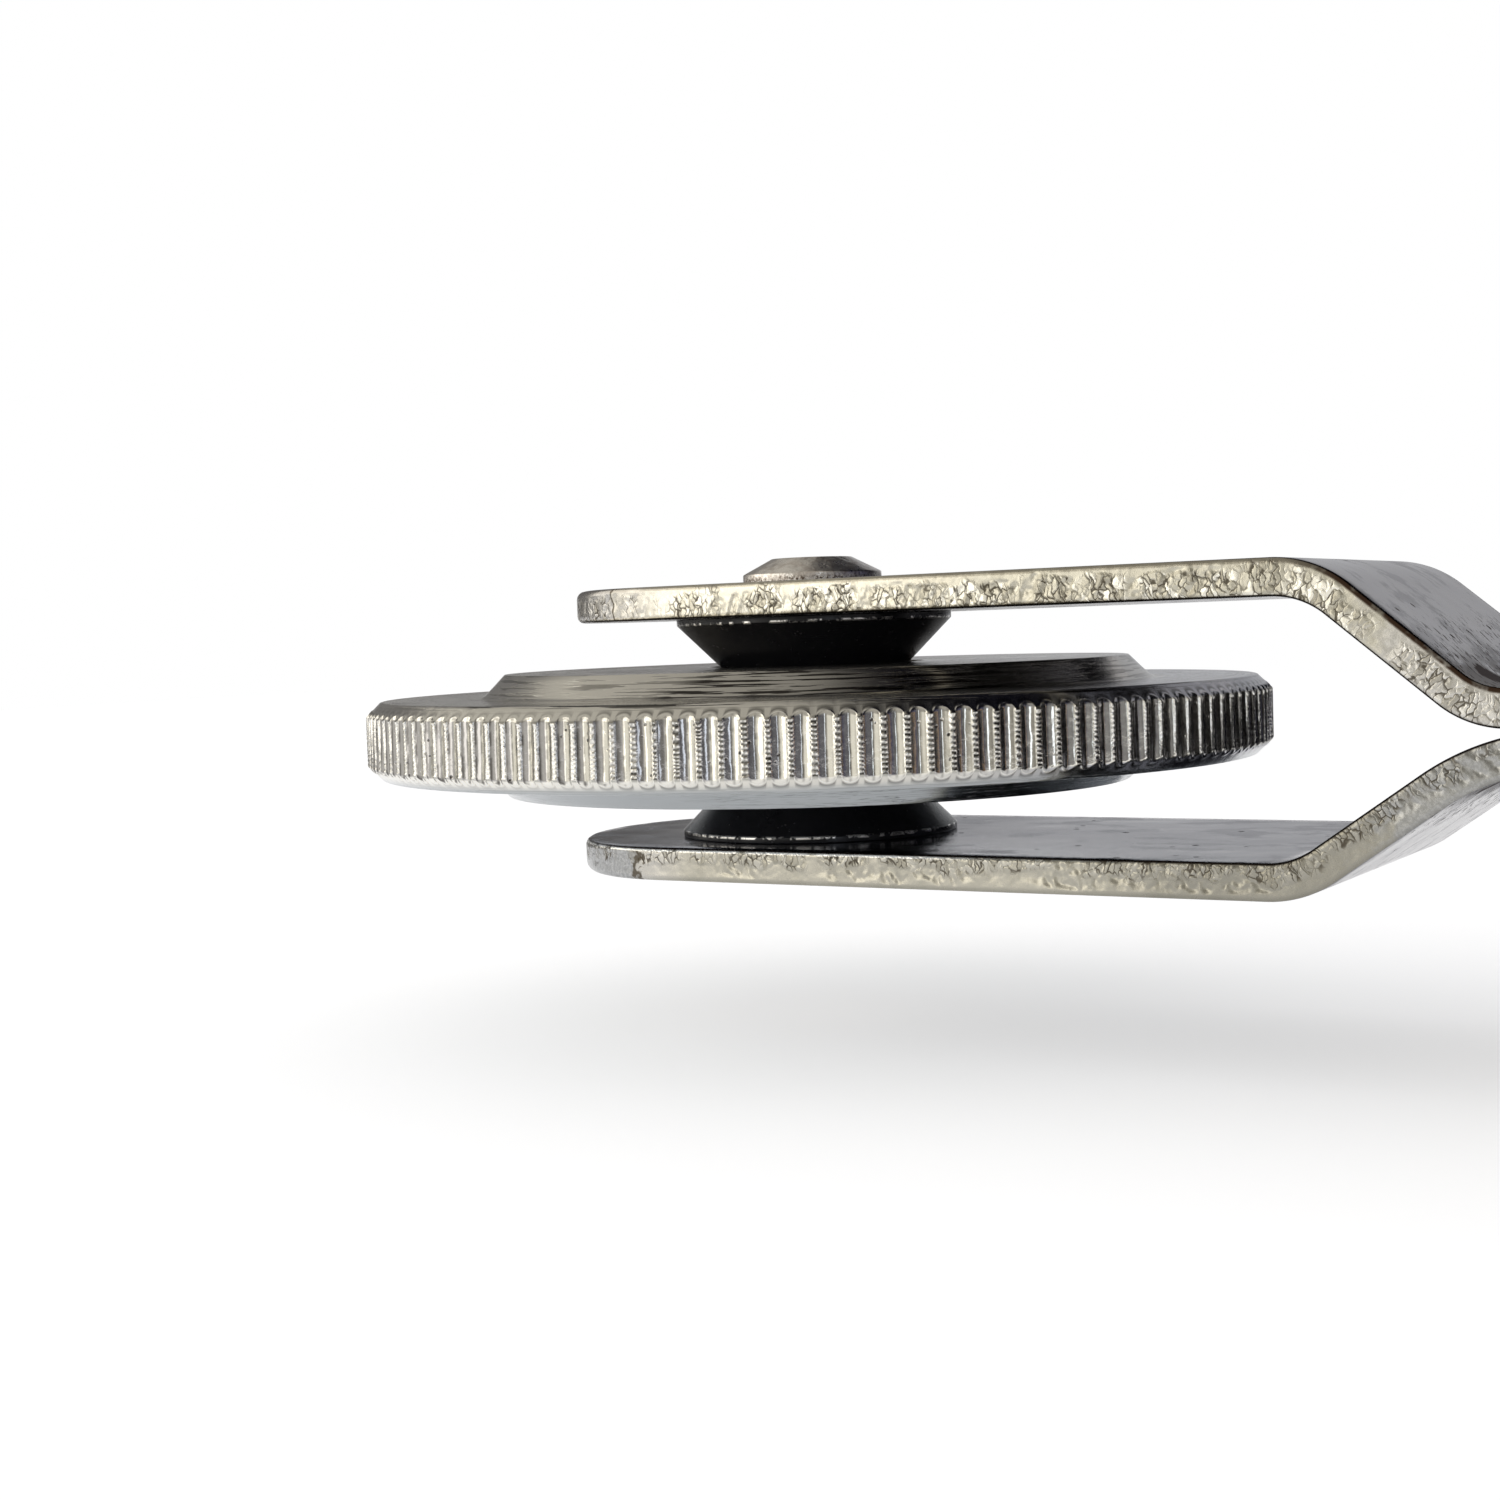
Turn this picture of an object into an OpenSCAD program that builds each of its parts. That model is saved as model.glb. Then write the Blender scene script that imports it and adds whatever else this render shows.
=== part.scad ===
// Seam roller with a knurled steel wheel on a ball bearing, a fork of bent steel strip
// and a turned wooden handle.
// The origin is the centre of the wheel. +Z runs up the axle and +X points to the butt of the handle.

/* [Wheel] */
// Diameter over the knurl
wheel_d = 38; // [32:0.5:50]
// Thickness of the rim
rim_t = 3.2; // [2.6:0.1:5]
// Width of the 45 degree bevel on each edge of the rim
rim_bevel = 0.6; // [0.4:0.05:1]
// Distance between knurl ridges along the rim
knurl_pitch = 0.807; // [0.7:0.001:1.6]
// Depth of the knurl grooves
knurl_depth = 0.26; // [0.1:0.01:0.35]
// Width left on top of each ridge
ridge_w = 0.2; // [0.1:0.01:0.4]
// Diameter of the flat top of each boss
boss_d = 26.4; // [20:0.2:28]
// Thickness of the wheel over both bosses
boss_t = 5.1; // [4.4:0.1:8]
// Bevel round the mouth of the bore
mouth_bevel = 0.2; // [0.1:0.05:0.4]
// Width of the sloping flank round a boss
flank_w = 0.95; // [0.5:0.05:1.5]
// Radius of the hollow fillet at the foot of a boss
foot_r = 0.5; // [0.2:0.05:0.6]

/* [Bearing] */
// Diameter of a ball
ball_d = 3.175; // [2.5:0.005:3.5]
// Number of balls
ball_n = 7; // [6:1:9]
// Gap between neighbouring balls
ball_gap = 0.11; // [0.05:0.01:0.4]
// Clearance from a ball to each race
race_clear = 0.03; // [0.02:0.01:0.05]
// Width of the ring-shaped opening between a cone and the wheel
mouth_gap = 0.4; // [0.3:0.05:1]
// Gap between the nose of a cone and the balls
nose_clear = 0.05; // [0.02:0.01:0.1]
// Thickness of the lip round the wide end of a cone
lip_t = 0.35; // [0.2:0.05:0.8]
// How far the lip stands out past the cone
lip_w = 0.1; // [0.05:0.05:0.5]

/* [Axle] */
// Diameter of the axle rivet
axle_d = 3.2; // [2.4:0.1:3.6]
// Radial clearance of the rivet in its holes
axle_clear = 0.02; // [0.01:0.01:0.05]
// Diameter of a rivet head
head_d = 5.9; // [4.8:0.1:8]
// Diameter of the flat on top of the rivet head
head_flat_d = 3.4; // [2:0.1:4]
// Height of the straight side of the rivet head
head_side = 0.45; // [0.2:0.05:1]
// Full height of the rivet head
head_h = 1.1; // [0.8:0.05:2]

/* [Fork] */
// Thickness of the strip
strip_t = 1.35; // [1:0.05:2.5]
// Width of the strip
strip_w = 16; // [13:0.5:20]
// Distance between the two arms at the wheel
fork_gap = 9.2; // [8.6:0.1:13]
// Distance from the axle to the tip of an arm
tip_reach = 10.4; // [10:0.2:16]
// How far the radius of the broad curve across the tip exceeds half the strip's width
tip_more = 0.5; // [0.1:0.1:5]
// How far the radius of the tip's two corners falls short of half the strip's width
corner_less = 1; // [0.5:0.1:6]
// Distance from the axle to the upper arm's first bend, at the inner face
upper_bend_x = 23.5; // [22:0.1:32]
// Distance from the axle to the lower arm's first bend, at the inner face
lower_bend_x = 23; // [22:0.1:32]
// Slope of the upper arm's shoulder
upper_slope = 40; // [30:1:50]
// Slope of the lower arm's shoulder
lower_slope = 35; // [30:1:50]
// Inner radius of the first bends
bend_r = 2.9; // [1:0.1:4]
// Inner radius of the upper arm's bend at the neck
upper_neck_r = 2.2; // [1:0.1:8]
// Inner radius of the lower arm's bend at the neck
lower_neck_r = 7; // [1:0.1:8]

/* [Tang] */
// Length of the full-width part behind the shoulders
neck_l = 8; // [6:0.5:14]
// Length over which the strip narrows
taper_l = 3.5; // [2:0.5:6]
// Width of the tang
tang_w = 11; // [9:0.5:12]
// Length of the tang from the narrowing to its end
tang_l = 27; // [24:1:36]
// Diameter of the rivet that joins the tails
neck_rivet_d = 3; // [2:0.1:4]
// Diameter of its round heads
neck_head_d = 5.6; // [4:0.1:7]
// Height of its round heads
neck_head_h = 1.3; // [0.8:0.1:2]

/* [Handle] */
// Length of the ferrule
ferrule_l = 16; // [12:0.5:20]
// Outer diameter of the ferrule
ferrule_d = 17; // [15:0.5:20]
// Wall of the ferrule
ferrule_wall = 0.8; // [0.5:0.1:1.2]
// Radius of the ferrule's rolled front edge
ferrule_roll = 0.6; // [0.3:0.1:0.6]
// Gap between the narrowing of the fork and the ferrule
ferrule_gap = 1; // [0.5:0.5:3]
// Length of the grip behind the ferrule
grip_l = 95; // [80:1:130]
// Diameter of the shoulder behind the ferrule
shoulder_d = 19; // [17:0.5:22]
// Diameter of the waist
waist_d = 16.5; // [14:0.5:20]
// Largest diameter of the grip
grip_d = 25; // [22:0.5:32]
// Place of the waist, as a share of the grip
waist_place = 0.2; // [0.12:0.01:0.35]
// Place where the straight band starts, as a share of the grip
band_place = 0.6; // [0.5:0.01:0.65]
// Rounding of the shoulder's front edge
shoulder_round = 1; // [0.5:0.1:2]
// Length of the straight band at the largest diameter
band_l = 18; // [10:1:30]
// Diameter of the flat butt
butt_d = 11; // [8:0.5:14]
// Clearance of the wood inside the ferrule and round the tang
wood_clear = 0.03; // [0.01:0.01:0.1]
// Diameter of the pin through ferrule, wood and tang
pin_d = 2.5; // [2:0.1:3.5]
// How far the pin's round ends stand out of the ferrule
pin_proud = 0.4; // [0.2:0.1:0.8]

/* [Hidden] */
$fn = 96;

// Bearing: the balls run on a 45 degree cone above and below, and in a groove in the wheel.
ball_r = ball_d / 2;
pitch_r = (ball_r + ball_gap / 2) / sin(180 / ball_n);
cone_base = pitch_r - (ball_r + race_clear) * sqrt(2);
function cone_r(z) = cone_base + z;
groove_r = ball_r + race_clear;
nose_r = pitch_r - ball_r - nose_clear;

// Wheel
wheel_r = wheel_d / 2;
boss_r = boss_d / 2;
boss_z = boss_t / 2;
rim_z = rim_t / 2;
mouth_r = cone_r(boss_z) + mouth_gap;
teeth = round(PI * wheel_d / knurl_pitch);
tooth_a = 360 / teeth;
ridge_a = ridge_w / wheel_r * 180 / PI;

// Fork: the inner faces of the two tails meet on the plane z = 0, straight from the neck on.
arm_z = fork_gap / 2;
flange_z = arm_z - lip_t;
function neck_of(bend_x, slope, neck_r) =
    bend_x + arm_z / tan(slope) + (neck_r + strip_t) * tan(slope / 2);
neck_x = max(
    neck_of(upper_bend_x, upper_slope, upper_neck_r),
    neck_of(lower_bend_x, lower_slope, lower_neck_r)
);
bend_steps = 8;
taper_x = neck_x + neck_l;
tang_x = taper_x + taper_l;
tang_end = tang_x + tang_l;

// Handle
ferrule_x = tang_x + ferrule_gap;
grip_x = ferrule_x + ferrule_l;
butt_x = grip_x + grip_l;
spigot_r = ferrule_d / 2 - ferrule_wall - wood_clear;
pin_x = ferrule_x + ferrule_l / 2;

STEEL = "#b9bbbd";
BLACK = "#1b1b1d";
WOOD = "#c79a5f";

// ---- wheel ----

// Slope of a boss's flank, and the distance from its foot to each end of the fillet there
flank_a = atan2(boss_z - rim_z, flank_w);
foot_x = boss_r + flank_w;
foot_reach = foot_r * tan(flank_a / 2);

// Corners of the section above the plane z = 0, from the mouth of the bore out to the rim
wheel_corners = [
    [mouth_r, boss_z - mouth_bevel],
    [mouth_r + mouth_bevel, boss_z],
    [boss_r, boss_z],
    [foot_x - foot_reach * cos(flank_a), rim_z + foot_reach * sin(flank_a)],
    [foot_x + foot_reach, rim_z],
    [wheel_r - rim_bevel, rim_z],
    [wheel_r, rim_z - rim_bevel]
];

// Section of the wheel without its knurl: the fillet circles and the ball groove are cut from the corners
module wheel_section() {
    lower = [for (i = [len(wheel_corners) - 1 : -1 : 0]) [wheel_corners[i][0], -wheel_corners[i][1]]];
    difference() {
        polygon(concat(wheel_corners, lower));
        for (side = [-1, 1])
            translate([foot_x + foot_reach, side * (rim_z + foot_r)])
                circle(r = foot_r);
        translate([pitch_r, 0])
            circle(r = groove_r);
    }
}

// Outline of the knurled rim: shallow round grooves with a narrow ridge between them
module knurl_outline() {
    steps = 4;
    groove_a = tooth_a - ridge_a;
    polygon([
        for (i = [0 : teeth - 1], k = [0 : steps])
            let (
                a = i * tooth_a + ridge_a / 2 + groove_a * k / steps,
                r = wheel_r - knurl_depth * sin(180 * k / steps)
            )
            [r * cos(a), r * sin(a)]
    ]);
}

module wheel() {
    color(STEEL)
        intersection() {
            rotate_extrude()
                wheel_section();
            translate([0, 0, -boss_z - 1])
                linear_extrude(boss_t + 2)
                    knurl_outline();
        }
}

// ---- bearing ----

module ball(i) {
    color(STEEL)
        rotate([0, 0, i * 360 / ball_n])
            translate([pitch_r, 0, 0])
                sphere(r = ball_r);
}

// A bearing cone: nose on the plane z = 0, flange against the arm
module cone() {
    nose_z = nose_r - cone_base;
    flank_r = cone_r(flange_z);
    color(BLACK)
        rotate_extrude()
            polygon([
                [axle_d / 2 + axle_clear, 0],
                [nose_r, 0],
                [nose_r, nose_z],
                [flank_r, flange_z],
                [flank_r + lip_w, flange_z + lip_w],
                [flank_r + lip_w, arm_z],
                [axle_d / 2 + axle_clear, arm_z]
            ]);
}

module upper_cone() {
    cone();
}

module lower_cone() {
    mirror([0, 0, 1])
        cone();
}

module axle_rivet() {
    face_z = arm_z + strip_t;
    color(STEEL)
        rotate_extrude()
            polygon([
                [0, -face_z - head_h],
                [head_flat_d / 2, -face_z - head_h],
                [head_d / 2, -face_z - head_side],
                [head_d / 2, -face_z],
                [axle_d / 2, -face_z],
                [axle_d / 2, face_z],
                [head_d / 2, face_z],
                [head_d / 2, face_z + head_side],
                [head_flat_d / 2, face_z + head_h],
                [0, face_z + head_h]
            ]);
}

// ---- fork ----

// Points on a circle of radius r round c, from angle a0 to angle a1
function arc(c, r, a0, a1, steps = bend_steps) = [
    for (i = [0 : steps])
        let (a = a0 + (a1 - a0) * i / steps)
        c + r * [cos(a), sin(a)]
];

// Side view of an arm, in x and z: flat, bend down, shoulder, bend back, tail.
// The inner faces of flat and shoulder cross at bend_x.
module arm_side(bend_x, slope, neck_r) {
    first = [bend_x - bend_r * tan(slope / 2), arm_z - bend_r];
    second = [neck_of(bend_x, slope, neck_r), neck_r + strip_t];
    polygon(concat(
        [[-tip_reach, arm_z], [-tip_reach, arm_z + strip_t]],
        arc(first, bend_r + strip_t, 90, 90 - slope),
        arc(second, neck_r, 270 - slope, 270),
        [[tang_end, strip_t], [tang_end, 0]],
        arc(second, neck_r + strip_t, 270, 270 - slope),
        arc(first, bend_r, 90 - slope, 90)
    ));
}

// Plan of an arm: broad rounded tip, full width to the neck, then the narrow tang
module arm_plan() {
    w = strip_w / 2;
    tip_r = w + tip_more;
    corner_r = w - corner_less;
    tip_c = tip_r - tip_reach;
    corner_y = corner_less;
    corner_x = tip_c - sqrt(pow(tip_r - corner_r, 2) - corner_y * corner_y);
    // Angle at which the tip's broad curve meets the curve of a corner
    meet = 180 - atan2(corner_y, tip_c - corner_x);
    polygon(concat(
        arc([corner_x, corner_y], corner_r, 90, meet),
        arc([tip_c, 0], tip_r, meet, 360 - meet, 2 * bend_steps),
        arc([corner_x, -corner_y], corner_r, 360 - meet, 270),
        [
            [taper_x, -w],
            [tang_x, -tang_w / 2],
            [tang_end, -tang_w / 2],
            [tang_end, tang_w / 2],
            [tang_x, tang_w / 2],
            [taper_x, w]
        ]
    ));
}

// An arm above the plane z = 0, with its holes for the axle, the neck rivet and the ferrule pin
module arm(bend_x, slope, neck_r) {
    top = arm_z + strip_t + 1;
    color(STEEL)
        difference() {
            intersection() {
                translate([0, strip_w, 0])
                    rotate([90, 0, 0])
                        linear_extrude(2 * strip_w)
                            arm_side(bend_x, slope, neck_r);
                translate([0, 0, -1])
                    linear_extrude(top + 1)
                        arm_plan();
            }
            cylinder(h = 3 * top, r = axle_d / 2 + axle_clear, center = true);
            translate([neck_x + neck_l / 2, 0, 0])
                cylinder(h = 3 * top, r = neck_rivet_d / 2 + axle_clear, center = true);
            translate([pin_x, 0, 0])
                cylinder(h = 3 * top, r = pin_d / 2 + axle_clear, center = true);
        }
}

module upper_arm() {
    arm(upper_bend_x, upper_slope, upper_neck_r);
}

module lower_arm() {
    mirror([0, 0, 1])
        arm(lower_bend_x, lower_slope, lower_neck_r);
}

// Cap of a sphere, d wide and h high, standing on z = 0
module round_head(d, h) {
    r = (d * d / 4 + h * h) / (2 * h);
    intersection() {
        translate([0, 0, h - r])
            sphere(r = r);
        cylinder(h = h + 1, r = d / 2);
    }
}

module neck_rivet() {
    color(STEEL)
        translate([neck_x + neck_l / 2, 0, 0])
            union() {
                cylinder(h = 2 * strip_t, r = neck_rivet_d / 2, center = true);
                for (side = [0, 1])
                    mirror([0, 0, side])
                        translate([0, 0, strip_t])
                            round_head(neck_head_d, neck_head_h);
            }
}

// ---- handle ----

// Turns a section drawn as [place along the handle, radius] round the X axis
module turned() {
    rotate([0, 90, 0])
        rotate_extrude()
            mirror([1, -1])
                children();
}

module ferrule() {
    bore = ferrule_d / 2 - ferrule_wall;
    color(STEEL)
        difference() {
            turned()
                union() {
                    translate([ferrule_x + ferrule_roll, bore])
                        square([ferrule_l - ferrule_roll, ferrule_wall]);
                    translate([ferrule_x + ferrule_roll, bore + ferrule_roll])
                        circle(r = ferrule_roll);
                }
            translate([pin_x, 0, 0])
                cylinder(h = 2 * ferrule_d, r = pin_d / 2 + axle_clear, center = true);
        }
}

module ferrule_pin() {
    end_z = ferrule_d / 2 + pin_proud;
    color(STEEL)
        translate([pin_x, 0, 0])
            union() {
                cylinder(h = ferrule_d - 0.4, r = pin_d / 2, center = true);
                for (side = [0, 1])
                    mirror([0, 0, side])
                        translate([0, 0, ferrule_d / 2 - 0.2])
                            round_head(pin_d, pin_proud + 0.2);
            }
}

// The grip, as distances behind the ferrule: shoulder, waist, swell, straight band and round butt
waist_at = grip_l * waist_place;
band_at = grip_l * band_place;
round_l = grip_l - band_at - band_l;
function ease(a, b, t) = a + (b - a) * (1 - cos(180 * t)) / 2;

// Points of the grip's outline, from the shoulder to the rim of the flat butt
function grip_points() = concat(
    [[0, shoulder_d / 2 - shoulder_round]],
    [for (t = [0 : 0.1 : 1]) [
        shoulder_round + (waist_at - shoulder_round) * t,
        ease(shoulder_d, waist_d, t) / 2
    ]],
    [for (t = [0.0625 : 0.0625 : 1]) [
        waist_at + (band_at - waist_at) * t,
        ease(waist_d, grip_d, t) / 2
    ]],
    [for (a = [0 : 9 : 90]) [
        band_at + band_l + round_l * sin(a),
        (butt_d + (grip_d - butt_d) * cos(a)) / 2
    ]]
);

module handle() {
    front_x = ferrule_x + ferrule_roll;
    slot_w = tang_w + 2 * wood_clear;
    slot_h = 2 * (strip_t + wood_clear);
    slot_l = tang_end + wood_clear - front_x + 1;
    color(WOOD)
        difference() {
            turned()
                polygon(concat(
                    [[front_x, 0], [front_x, spigot_r], [grip_x, spigot_r]],
                    [for (p = grip_points()) [grip_x + p[0], p[1]]],
                    [[butt_x, 0]]
                ));
            translate([front_x - 1, -slot_w / 2, -slot_h / 2])
                cube([slot_l, slot_w, slot_h]);
            translate([pin_x, 0, 0])
                cylinder(h = 2 * ferrule_d, r = pin_d / 2 + wood_clear, center = true);
        }
}

// ---- assembly ----

wheel();
ball(1);  // ball_1
ball(2);  // ball_2
ball(3);  // ball_3
ball(4);  // ball_4
ball(5);  // ball_5
ball(6);  // ball_6
ball(7);  // ball_7
upper_cone();
lower_cone();
axle_rivet();
upper_arm();
lower_arm();
neck_rivet();
ferrule();
ferrule_pin();
handle();
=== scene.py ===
import math

import bpy
import numpy as np
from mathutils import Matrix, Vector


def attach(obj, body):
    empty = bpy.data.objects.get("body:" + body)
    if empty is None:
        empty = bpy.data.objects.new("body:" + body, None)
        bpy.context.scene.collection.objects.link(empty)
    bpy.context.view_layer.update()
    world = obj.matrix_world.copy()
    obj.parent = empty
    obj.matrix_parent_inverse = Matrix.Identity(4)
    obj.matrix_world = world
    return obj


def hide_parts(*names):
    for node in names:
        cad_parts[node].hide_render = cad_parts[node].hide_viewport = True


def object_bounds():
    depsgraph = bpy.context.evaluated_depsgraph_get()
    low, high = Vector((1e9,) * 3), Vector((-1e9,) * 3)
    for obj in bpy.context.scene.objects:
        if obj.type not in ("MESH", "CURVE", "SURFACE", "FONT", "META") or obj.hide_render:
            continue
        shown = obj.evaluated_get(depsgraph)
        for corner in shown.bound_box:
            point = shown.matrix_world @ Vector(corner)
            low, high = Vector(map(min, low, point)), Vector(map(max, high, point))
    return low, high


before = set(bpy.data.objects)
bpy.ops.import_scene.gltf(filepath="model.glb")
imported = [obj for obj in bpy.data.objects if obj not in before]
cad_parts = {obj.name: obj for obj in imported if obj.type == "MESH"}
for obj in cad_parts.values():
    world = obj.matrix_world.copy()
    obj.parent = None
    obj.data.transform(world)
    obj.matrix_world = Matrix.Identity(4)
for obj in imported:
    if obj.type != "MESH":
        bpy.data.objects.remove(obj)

cad_low, cad_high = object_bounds()

# ---- Wheel ----
# A disc of steel turned with a boss on each side, bored for the balls, straight knurled round its
# bevelled rim and then nickel plated. It turns on the ball bearing inside its bore.

# The sizes of all pieces are in millimetres, from the middle of the wheel.
wheel_r, rim_z, bevel = 19.0, 1.6, 0.6
boss_r, boss_z, foot_r = 13.2, 2.55, 14.15
mouth_r, mouth_bevel = 4.448, 0.2
ball_ring_r, ball_groove_r = 3.786, 1.6175
teeth, ridge_w, knurl_depth = 148, 0.16, 0.165
crest_fall = 0.03
arch_h = 0.27
nickel = (0.66, 0.64, 0.585)
grime_and_shade = (0.05, 0.045, 0.04)


class Wire:
    """An output of a shader node. Sums written on it add Math nodes."""

    def __init__(self, socket):
        self.socket = socket

    def node(self, kind, settings=None, inputs=None, out=0):
        """Adds a node: its type, its settings, then the values or links of its sockets."""
        made = self.socket.id_data.nodes.new("ShaderNode" + kind)
        for key, value in (settings or {}).items():
            setattr(made, key, value)
        for key, value in (inputs or {}).items():
            if isinstance(value, Wire):
                self.socket.id_data.links.new(value.socket, made.inputs[key])
            else:
                made.inputs[key].default_value = value
        return Wire(made.outputs[out])

    def math(self, operation, other=0.0):
        return self.node("Math", {"operation": operation}, {0: self, 1: other})

    def __add__(self, other):
        return self.math("ADD", other)

    def __sub__(self, other):
        return self.math("SUBTRACT", other)

    def __rsub__(self, other):
        return self.node("Math", {"operation": "SUBTRACT"}, {0: other, 1: self})

    def __mul__(self, other):
        return self.math("MULTIPLY", other)

    def __pow__(self, other):
        return self.math("POWER", other)

    def __neg__(self):
        return 0 - self

    def __abs__(self):
        return self.math("ABSOLUTE")

    __radd__, __rmul__ = __add__, __mul__

    def parts(self):
        """The X, Y and Z of a vector."""
        return [Wire(part) for part in self.node("SeparateXYZ", None, {0: self}).socket.node.outputs]

    def step(self, low, high):
        """0 below low, 1 above high, and smooth between."""
        ends = {0: self, 1: low, 2: high}
        return self.node("MapRange", {"interpolation_type": "SMOOTHSTEP"}, ends)

    def mix(self, first, second):
        """The first colour where self is 0, and the second where it is 1."""
        pair = [c if isinstance(c, Wire) else (*c, 1) for c in (first, second)]
        return self.node("Mix", {"data_type": "RGBA"}, {0: self, 6: pair[0], 7: pair[1]}, 2)

    def noise(self, scale, detail=2.0, rough=0.5, out=0):
        """Cloudy values of 0 to 1, or with out=1 three of them."""
        inputs = {"Vector": self, "Scale": scale, "Detail": detail, "Roughness": rough}
        return self.node("TexNoise", None, inputs, out)

    def cells(self, scale, feature="F1", out=0):
        """Distance from scattered points, or with out=1 three random values for each point's cell."""
        return self.node("TexVoronoi", {"feature": feature}, {"Vector": self, "Scale": scale}, out)

    def stretch(self, x, y, z):
        return self.node("VectorMath", {"operation": "MULTIPLY"}, {0: self, 1: (x, y, z)})

    def length(self):
        return self.node("VectorMath", {"operation": "LENGTH"}, {0: self}, 1)

    def vector(self, x, y, z):
        return self.node("CombineXYZ", None, {0: x, 1: y, 2: z})

    def bump(self, depth_mm, under=None):
        """Normal for a height of 0 to 1 that stands for depth_mm, on top of the normal under it."""
        inputs = {"Height": self, "Distance": depth_mm / 1000, "Strength": 1.0}
        return self.node("Bump", None, inputs | ({"Normal": under} if under else {}))


def start_tree(owner, coordinates):
    """Empties the nodes of a material or world, and gives its texture coordinates as a Wire."""
    owner.use_nodes = True
    owner.node_tree.nodes.clear()
    return Wire(owner.node_tree.nodes.new("ShaderNodeTexCoord").outputs[coordinates])


def end_tree(shader, kind):
    """Leads the last shader of a tree to its output."""
    tree = shader.socket.id_data
    output = tree.nodes.new("ShaderNodeOutput" + kind)
    tree.links.new(shader.socket, output.inputs["Surface"])


def finish(name):
    """A new material, with the place on the piece in millimetres as a Wire."""
    made = bpy.data.materials.new(name)
    return made, start_tree(made, "Object").stretch(1000, 1000, 1000)


def surface(place, **sockets):
    """Ends a material with its shader. Underscores in a socket's name stand for spaces."""
    inputs = {}
    for key, value in sockets.items():
        plain_colour = isinstance(value, tuple) and len(value) == 3
        inputs[key.replace("_", " ")] = (*value, 1) if plain_colour else value
    end_tree(place.node("BsdfPrincipled", None, inputs), "Material")


def rounded(corners, steps=4):
    """An outline through corners of (radius, height, rounding)."""
    points = []
    for i, (a, b, r) in enumerate(corners):
        if not r:
            points.append((a, b))
            continue
        here = np.array((a, b))
        back = np.array(corners[i - 1][:2]) - here
        on = np.array(corners[(i + 1) % len(corners)][:2]) - here
        back, on = back / np.linalg.norm(back), on / np.linalg.norm(on)
        half = math.acos(np.clip(back @ on, -1, 1)) / 2
        reach = r / math.tan(half)
        centre = here + (back + on) / np.linalg.norm(back + on) * r / math.sin(half)
        start, end = here + back * reach - centre, here + on * reach - centre
        turn = math.atan2(start[0] * end[1] - start[1] * end[0], start @ end)
        for k in range(steps + 1):
            c, s = math.cos(turn * k / steps), math.sin(turn * k / steps)
            moved = c * start[0] - s * start[1], s * start[0] + c * start[1]
            points.append((centre[0] + moved[0], centre[1] + moved[1]))
    return points


def rings_to_faces(rings, columns, first=0, closed=False):
    """Quads between rings of points that go all the way round."""
    faces = []
    for i in range(rings if closed else rings - 1):
        low, high = first + i * columns, first + (i + 1) % rings * columns
        for k in range(columns):
            n = (k + 1) % columns
            faces.append((low + k, low + n, high + n, high + k))
    return faces


def piece(node, points, faces, body, finishes, finish_of_face=None, sharp=35):
    """Makes a mesh of points in millimetres that stands for a CAD node and rides on its body."""
    mesh = bpy.data.meshes.new(node + "_visual")
    mesh.from_pydata((np.asarray(points) / 1000).tolist(), [], faces)
    for made in finishes:
        mesh.materials.append(made)
    if finish_of_face is not None:
        mesh.polygons.foreach_set("material_index", finish_of_face)
    mesh.shade_smooth()
    mesh.set_sharp_from_angle(angle=math.radians(sharp))
    thing = bpy.data.objects.new(node + "_visual", mesh)
    bpy.context.scene.collection.objects.link(thing)
    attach(thing, body)
    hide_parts(node)
    return thing


def carry(thing, name, values):
    """Gives each point of a piece three numbers under a name."""
    made = thing.data.attributes.new(name, "FLOAT_VECTOR", "POINT")
    made.data.foreach_set("vector", values.ravel())


def carried(place, name):
    """The three numbers that a piece carries, for its material."""
    return place.node("Attribute", {"attribute_name": name}, None, 1)


def polar(radii, heights, angles):
    """Points at each height for every angle. Radii and heights broadcast against the angles."""
    r, z, a = np.broadcast_arrays(radii, heights, angles)
    return np.stack((r * np.cos(a), r * np.sin(a), z), -1).reshape(-1, 3)


def noise_sheet(u, v, cell_u, cell_v, seed):
    """Smooth random heights of 0 to 1 over a sheet, with a new value in each cell."""
    rows, places, middle_row = 64, 1024, 20
    table = np.random.default_rng(seed).random((rows, places))
    a, b = u / cell_u, v / cell_v + middle_row
    i, j = np.floor(a).astype(int), np.floor(b).astype(int)
    f, g = a - i, b - j
    f, g = f * f * (3 - 2 * f), g * g * (3 - 2 * g)

    def value(p, q):
        return table[q % rows, p % places]

    near = value(i, j) * (1 - f) + value(i + 1, j) * f
    far = value(i, j + 1) * (1 - f) + value(i + 1, j + 1) * f
    return near * (1 - g) + far * g


def smooth(low, high, value):
    """0 below low, 1 above high, and smooth between."""
    t = np.clip((value - low) / (high - low), 0, 1)
    return t * t * (3 - 2 * t)


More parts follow.
